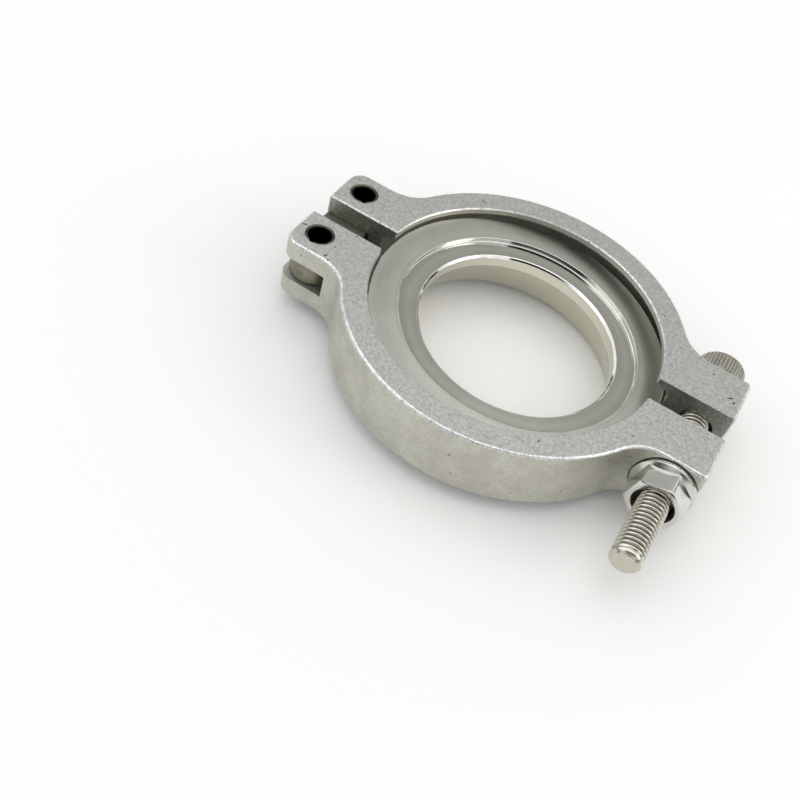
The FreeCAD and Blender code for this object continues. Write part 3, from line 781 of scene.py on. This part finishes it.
@dataclass
class Hinge:
    """The flat link and its two roll pins, which keep their solids' shape."""

    # Stamping leaves a satin grey that mirrors little.
    link: SmoothSteel = SmoothSteel(
        "stamped_steel_satin", "#918F80", "#7D7B6B", 0.42, 3 * MM, bump=0.2,
    )
    # The oxide is nearly black, and driving the pins in has rubbed their ends bright.
    pins: SmoothSteel = SmoothSteel(
        "black_oxide_spring_steel", "#1B1B1D", "#0E0E10", 0.3, 1.5 * MM, edge="#D9DAD8",
    )

    def dress(self) -> None:
        """Give the link and the pins their finishes."""
        dress_node("hinge_link", self.link.material())
        material = self.pins.material()
        for node in ("roll_pin_nut_side", "roll_pin_head_side"):
            dress_node(node, material)


def dress_node(node: str, material: bpy.types.Material) -> None:
    """Put a finish on a solid that keeps its shape.

    Args:
        node: the solid's name.
        material: its finish.
    """
    slots = frame["nodes"][node].data.materials
    slots.clear()
    slots.append(material)
    log.info("%s: %s", node, material.name)


def joint_to(body: str) -> dict:
    """Find the joint that carries a body.

    Args:
        body: the body's name.

    Returns:
        The joint as the record holds it.
    """
    return next(joint for joint in frame["joints"] if joint["child"] == body)


@dataclass
class WeldFlange:
    """The turned weld flange that lies loose in the groove."""

    height: float = 11.4 * MM
    bore: float = 20.0 * MM
    bore_land: float = 2.0 * MM
    bore_chamfer: float = 0.45 * MM
    mouth: float = 23.2 * MM
    neck: float = 25.2 * MM
    neck_chamfer: float = 0.7 * MM
    register: float = 24.4 * MM
    register_depth: float = 1.0 * MM
    rim: float = 30.6 * MM
    rim_thickness: float = 4.4 * MM
    rim_chamfer: float = 0.4 * MM
    back_slope: float = math.radians(20)
    fillet: float = 0.25 * MM
    fillet_steps: int = 6
    edge_break: float = 0.1 * MM
    sharp_from: float = 18.0
    smooth_to: float = 10.0
    level_from: float = 0.97
    segments: int = 256

    def axis(self) -> Axis:
        """Give the flange's axis, from the neck's end upwards, as its joint has it."""
        joint = joint_to("flange")
        along = Vector(joint["axis"]).normalized()
        return Axis(Vector(joint["pos_m"]) - along * self.height, along)

    def section(self) -> list[tuple[float, float]]:
        """Give the section's corners as radius and height."""
        back = self.height - self.rim_thickness
        sunk = self.height - self.register_depth
        slope = math.tan(self.back_slope)
        leans = [math.pi / 2 * k / self.fillet_steps for k in range(self.fillet_steps + 1)]
        return [
            (self.mouth, 0.0),
            (self.neck - self.neck_chamfer, 0.0),
            (self.neck, self.neck_chamfer),
            (self.neck, back - (self.rim - self.neck) * slope),
            (self.rim - self.rim_chamfer, back - self.rim_chamfer * slope),
            (self.rim, back + self.rim_chamfer),
            (self.rim, self.height - self.rim_chamfer),
            (self.rim - self.rim_chamfer, self.height),
            (self.register, self.height),
            *(
                (
                    self.register - self.fillet * (1 - math.cos(lean)),
                    sunk + self.fillet * (1 - math.sin(lean)),
                )
                for lean in leans
            ),
            (self.bore + self.bore_chamfer, sunk),
            (self.bore, sunk - self.bore_chamfer),
            (self.bore, sunk - self.bore_chamfer - self.bore_land),
        ]

    def build(self) -> bpy.types.Object:
        """Turn the flange and put it in its solid's place."""
        mesh = bmesh.new()
        corners = [mesh.verts.new((radius, 0.0, height)) for radius, height in self.section()]
        outline = [mesh.edges.new((a, b)) for a, b in zip(corners, corners[1:] + corners[:1])]
        bmesh.ops.spin(
            mesh, geom=corners + outline, cent=(0, 0, 0), axis=(0, 0, 1),
            angle=math.tau, steps=self.segments, use_merge=True,
        )
        bmesh.ops.recalc_face_normals(mesh, faces=mesh.faces[:])
        break_edges(mesh, self.edge_break, self.sharp_from)
        bore_top = self.height - self.register_depth - self.bore_chamfer
        for face in mesh.faces:
            middle = face.calc_center_median()
            sloped = abs(face.normal.z) < self.level_from
            if sloped and middle.z > bore_top and middle.xy.length < self.rim - self.edge_break:
                face.material_index = EDGE_FACE
        axis = self.axis()
        satin = TurnedStainless(axis, bore_top, self.register)
        piece = make_piece(
            mesh, "turned_weld_flange", axis,
            satin.material(), BRIGHT_EDGE.material(), smooth=self.smooth_to,
        )
        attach(piece, "flange")
        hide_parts("weld_flange")
        return piece


@dataclass
class Screw:
    """Socket head screw, M6 by 50, with a rolled thread along its whole shank."""

    radius: float = 3.0 * MM
    root: float = 2.42 * MM
    pitch: float = 1.0 * MM
    length: float = 50.0 * MM
    tip: float = 2.3 * MM
    tip_round: float = 0.9 * MM
    head: float = 5.0 * MM
    head_height: float = 6.0 * MM
    collar: float = 1.3 * MM
    collar_step: float = 0.15 * MM
    chamfer: float = 0.5 * MM
    seat_chamfer: float = 0.3 * MM
    knurl_depth: float = 0.15 * MM
    knurl_count: int = 44
    knurl_points: int = 4
    socket: float = 5.0 * MM
    socket_depth: float = 3.0 * MM
    mouth_widening: float = 0.3 * MM
    mouth_depth: float = 0.25 * MM
    run_in: float = 1.8 * MM
    run_in_fade: float = 1.0 * MM
    thread_overlap: float = 0.3 * MM
    spare_turns: int = 2
    steps: int = 36
    flank_steps: int = 10
    crest_power: float = 1.5
    smooth_to: float = 50.0

    def finish(self) -> RolledScrew:
        """Give the screw's finish, which follows its thread and its knurl."""
        return RolledScrew(
            self.axis(), self.length, self.run_in, self.root, self.radius,
            self.head - self.knurl_depth, self.head,
        )

    def axis(self) -> Axis:
        """Give the screw's axis, from its tip towards its head."""
        middle = joint_to("screw")["pos_m"]
        return Axis(Vector((middle[0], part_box("socket_head_screw")[0].y, middle[2])), Vector((0, 1, 0)))

    def cut_thread(self, mesh: bmesh.types.BMesh) -> None:
        """Wind the thread's section up the shank, then trim and chamfer its ends."""
        depth = self.radius - self.root
        section = [
            (
                self.root + depth * math.sin(math.pi * k / self.flank_steps) ** self.crest_power,
                self.pitch * k / self.flank_steps,
            )
            for k in range(self.flank_steps + 1)
        ]
        points = [mesh.verts.new((radius, 0.0, height - self.pitch)) for radius, height in section]
        edges = [mesh.edges.new(pair) for pair in zip(points, points[1:])]
        turns = round(self.length / self.pitch) + self.spare_turns
        bmesh.ops.spin(
            mesh, geom=points + edges, cent=(0, 0, 0), axis=(0, 0, 1), angle=math.tau * turns,
            dvec=(0, 0, self.pitch / self.steps), steps=turns * self.steps,
        )
        bmesh.ops.remove_doubles(mesh, verts=mesh.verts[:], dist=2 * TOUCHING)
        for vert in mesh.verts:
            rise = math.sin(math.pi / 2 * min(1.0, max(0.0, vert.co.z) / self.tip_round))
            limit = self.tip + (self.radius - self.tip) * rise
            fade = min(1.0, max(0.0, (self.run_in - vert.co.z) / self.run_in_fade))
            reach = vert.co.xy.length
            vert.co.xy *= min(limit, reach + (limit - reach) * fade) / reach
        for height, side in ((0.0, -1), (self.length + self.thread_overlap, 1)):
            bmesh.ops.bisect_plane(
                mesh, geom=mesh.verts[:] + mesh.edges[:] + mesh.faces[:], dist=TOUCHING,
                plane_co=(0, 0, height), plane_no=(0, 0, side), clear_outer=True,
            )
        bmesh.ops.holes_fill(mesh, edges=[edge for edge in mesh.edges if edge.is_boundary], sides=0)

    def knurled(self, angle: float) -> float:
        """Give the head's radius at an angle, with its straight knurl."""
        wave = 0.5 + 0.5 * math.cos(angle * self.knurl_count)
        return self.head - self.knurl_depth * wave ** self.crest_power

    def form_head(self, mesh: bmesh.types.BMesh) -> None:
        """Raise the head from its seat: plain collar, knurl, chamfer and socket."""
        seat, top = self.length, self.length + self.head_height
        plain = self.head - self.collar_step
        key = hexagon(self.socket)
        stack_rings(mesh, [
            Ring(plain - self.seat_chamfer, seat),
            Ring(plain, seat + self.seat_chamfer),
            Ring(plain, seat + self.collar),
            Ring(self.knurled, seat + self.collar + self.collar_step),
            Ring(self.knurled, top - self.chamfer),
            Ring(self.head - self.chamfer, top),
            Ring(lambda angle: key(angle) + self.mouth_widening, top),
            Ring(key, top - self.mouth_depth),
            Ring(key, top - self.socket_depth),
        ], self.knurl_points * self.knurl_count, ends=True)

    def build(self) -> bpy.types.Object:
        """Make the screw and put it in its solid's place."""
        mesh = bmesh.new()
        self.cut_thread(mesh)
        self.form_head(mesh)
        piece = make_piece(
            mesh, "threaded_screw", self.axis(), self.finish().material(), smooth=self.smooth_to,
        )
        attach(piece, "screw")
        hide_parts("socket_head_screw")
        return piece


@dataclass
class Nut:
    """Flange nut, M6, polished, with its hexagon's corners chamfered."""

    flats: float = 10.0 * MM
    height: float = 6.0 * MM
    turn: float = math.radians(-15)
    flange: float = 6.2 * MM
    rim: float = 1.1 * MM
    cone: float = math.radians(20)
    bore: float = 3.05 * MM
    sink: float = 1.05 * MM
    corner_cut: float = 0.8 * MM
    corner_slope: float = math.radians(30)
    foot_chamfer: float = 0.25 * MM
    edge_break: float = 0.12 * MM
    sharp_from: float = 28.0
    segments: int = 144
    # Polishing makes the flats mirror the studio, softened only by handling.
    finish: SmoothSteel = SmoothSteel(
        "polished_stainless_nut", "#DEDEDA", "#CFCFCA", 0.16, 4 * MM, bump=0.3,
    )
    # The tapped bore and its countersink are painted dark brown as painted shade.
    bore_shade: SmoothSteel = SmoothSteel("nut_bore_painted_shade", "#4A4136", "#241E18", 0.3, 1 * MM)

    def axis(self) -> Axis:
        """Give the nut's axis, from its bearing face outwards."""
        middle = joint_to("screw")["pos_m"]
        return Axis(Vector((middle[0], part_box("flange_nut")[1].y, middle[2])), Vector((0, -1, 0)))

    def build(self) -> bpy.types.Object:
        """Make the nut and put it in its solid's place."""
        side = hexagon(self.flats, self.turn)
        flat_top = self.flats / 2 / math.cos(math.pi / 6) - self.corner_cut
        cone, slope = math.tan(self.cone), math.tan(self.corner_slope)
        mesh = bmesh.new()
        stack_rings(mesh, [
            Ring(self.flange - self.foot_chamfer, 0.0),
            Ring(self.flange, self.foot_chamfer),
            Ring(self.flange, self.rim),
            Ring(side, lambda angle: self.rim + (self.flange - side(angle)) * cone),
            Ring(side, lambda angle: self.height - (side(angle) - flat_top) * slope),
            Ring(flat_top, self.height),
            Ring(self.bore + self.sink, self.height),
            Ring(self.bore, self.height - self.sink),
            Ring(self.bore, self.sink),
            Ring(self.bore + self.sink, 0.0),
            Ring(self.flange - self.foot_chamfer, 0.0),
        ], self.segments, ends=False)
        bmesh.ops.recalc_face_normals(mesh, faces=mesh.faces[:])
        break_edges(mesh, self.edge_break, self.sharp_from)
        # The bore and its countersink take the painted shade.
        for face in mesh.faces:
            if face.calc_center_median().xy.length < self.bore + self.sink - self.edge_break:
                face.material_index = PAINTED_SHADE_FACE
        piece = make_piece(
            mesh, "polished_flange_nut", self.axis(),
            self.finish.material(), BRIGHT_EDGE.material(), self.bore_shade.material(),
        )
        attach(piece, "nut")
        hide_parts("flange_nut")
        return piece


@dataclass(frozen=True)
class Card:
    """A matt card that faces the part from afar, for bare metal to reflect."""

    name: str
    colour: str
    place: Vector
    width: float
    height: float


@dataclass(frozen=True)
class Lamp:
    """A square soft lamp that faces the part."""

    name: str
    place: Vector
    size: float
    power: float
    colour: str = "#FFFFFF"


@dataclass
class Studio:
    """White table, soft lamps, dark walls, cards and the camera of the photograph."""

    place: Vector = Vector((25.756, -150.973, 153.116)) * MM
    turn: tuple[float, float, float] = (41.265, -12.014, 30.036)
    focal: float = 47.909
    shift: tuple[float, float] = (0.00666, -0.0283)
    sensor: float = 36.0
    clip_start: float = 0.01
    table_size: float = 20.0
    table_gap: float = 0.05 * MM
    daylight: float = 0.86
    lamps: tuple[Lamp, ...] = (
        Lamp("softbox_above", Vector((-0.05, 0.12, 0.7)), 0.7, 0.8),
        Lamp("softbox_left", Vector((-0.55, -0.38, 0.6)), 0.5, 0.5, "#F6FAFF"),
        Lamp("softbox_right", Vector((0.6, 0.15, 0.35)), 0.3, 0.6, "#FFFAF2"),
    )
    table: str = "#F7F7F6"
    wall: str = "#2A2A29"
    wall_radius: float = 1.2
    wall_foot: float = 0.03
    wall_top: float = 0.28
    wall_sides: int = 64
    cards: tuple[Card, ...] = (
        Card("brown_card", "#261E18", Vector((0.19, -0.69, 0.68)), 1.15, 0.4),
        Card("grey_card", "#C6C5C2", Vector((-0.13, 0.73, 0.67)), 1.1, 0.55),
    )

    def camera(self) -> None:
        """Set the camera where the photograph was taken from."""
        data = bpy.data.cameras.new("camera")
        data.lens, data.sensor_width = self.focal, self.sensor
        data.shift_x, data.shift_y = self.shift
        data.clip_start = self.clip_start
        camera = bpy.data.objects.new("camera", data)
        camera.location = self.place
        camera.rotation_euler = Euler([math.radians(angle) for angle in self.turn])
        bpy.context.scene.collection.objects.link(camera)
        bpy.context.scene.camera = camera

    def floor(self) -> None:
        """Lay the white table under the part. It keeps the part's shadow."""
        mesh = bmesh.new()
        bmesh.ops.create_grid(mesh, x_segments=1, y_segments=1, size=self.table_size / 2)
        foot = Axis(Vector((0, 0, CAD_BOX[0].z - self.table_gap)), Vector((0, 0, 1)))
        table = make_piece(mesh, "white_table", foot, self.paint("white_table", self.table))

    def paint(self, name: str, colour: str) -> bpy.types.Material:
        """Mix a matt paint for the studio.

        Args:
            name: the paint's name.
            colour: its colour as sRGB hex.

        Returns:
            The material.
        """
        material, tree = new_material(name)
        matt = add_node(tree, "ShaderNodeBsdfDiffuse", {"Color": linear(colour)})
        add_node(tree, "ShaderNodeOutputMaterial", {"Surface": matt.outputs[0]})
        return material

    def surroundings(self) -> None:
        """Stand dark walls and cards round the table, which only bare metal reflects."""
        mesh = bmesh.new()
        stack_rings(mesh, [
            Ring(self.wall_radius, self.wall_foot), Ring(self.wall_radius, self.wall_top),
        ], self.wall_sides, ends=False)
        upright = Axis(Vector(), Vector((0, 0, 1)))
        pieces = [make_piece(mesh, "dark_walls", upright, self.paint("dark_wall", self.wall))]
        for card in self.cards:
            mesh = bmesh.new()
            bmesh.ops.create_grid(mesh, x_segments=1, y_segments=1, size=0.5)
            bmesh.ops.scale(mesh, vec=(card.width, card.height, 1), verts=mesh.verts[:])
            facing = Axis(card.place, -card.place.normalized())
            pieces.append(make_piece(mesh, card.name, facing, self.paint(card.name, card.colour)))
        for piece in pieces:
            piece.visible_camera = piece.visible_diffuse = piece.visible_shadow = False

    def light(self) -> None:
        """Hang the soft lamps."""
        for lamp in self.lamps:
            data = bpy.data.lights.new(lamp.name, "AREA")
            data.size, data.energy, data.color = lamp.size, lamp.power, linear(lamp.colour)[:3]
            hung = bpy.data.objects.new(lamp.name, data)
            hung.location = lamp.place
            hung.rotation_euler = (-lamp.place).to_track_quat("-Z", "Y").to_euler()
            bpy.context.scene.collection.objects.link(hung)

    def world(self) -> None:
        """Make the room white to the camera and in reflections, and a plain even light."""
        world = bpy.data.worlds.new("white_room")
        world.use_nodes = True
        tree = world.node_tree
        tree.nodes.clear()
        path = add_node(tree, "ShaderNodeLightPath")
        seen = add_node(tree, "ShaderNodeMath", {
            0: path.outputs["Is Camera Ray"], 1: path.outputs["Is Glossy Ray"],
        }, operation="MAXIMUM").outputs[0]
        seen = add_node(tree, "ShaderNodeMath", {
            0: seen, 1: path.outputs["Is Transmission Ray"],
        }, operation="MAXIMUM").outputs[0]
        strength = add_node(tree, "ShaderNodeMapRange", {
            0: seen, "To Min": self.daylight, "To Max": 1.0,
        }).outputs[0]
        sky = add_node(tree, "ShaderNodeBackground", {"Color": (1, 1, 1, 1), "Strength": strength})
        add_node(tree, "ShaderNodeOutputWorld", {"Surface": sky.outputs[0]})
        bpy.context.scene.world = world

    def build(self) -> None:
        """Set up the whole studio."""
        self.camera()
        self.floor()
        self.surroundings()
        self.world()
        self.light()
        bpy.context.scene.view_settings.view_transform = "Standard"


def main() -> None:
    """Build the studio and every piece."""
    logging.basicConfig(level=logging.INFO, format="%(name)s: %(message)s")
    Studio().build()
    Castings().dress()
    Hinge().dress()
    for builder in (WeldFlange(), Screw(), Nut()):
        piece = builder.build()
        log.info("%s: %d faces", piece.name, len(piece.data.polygons))


if __name__ == "__main__":
    main()
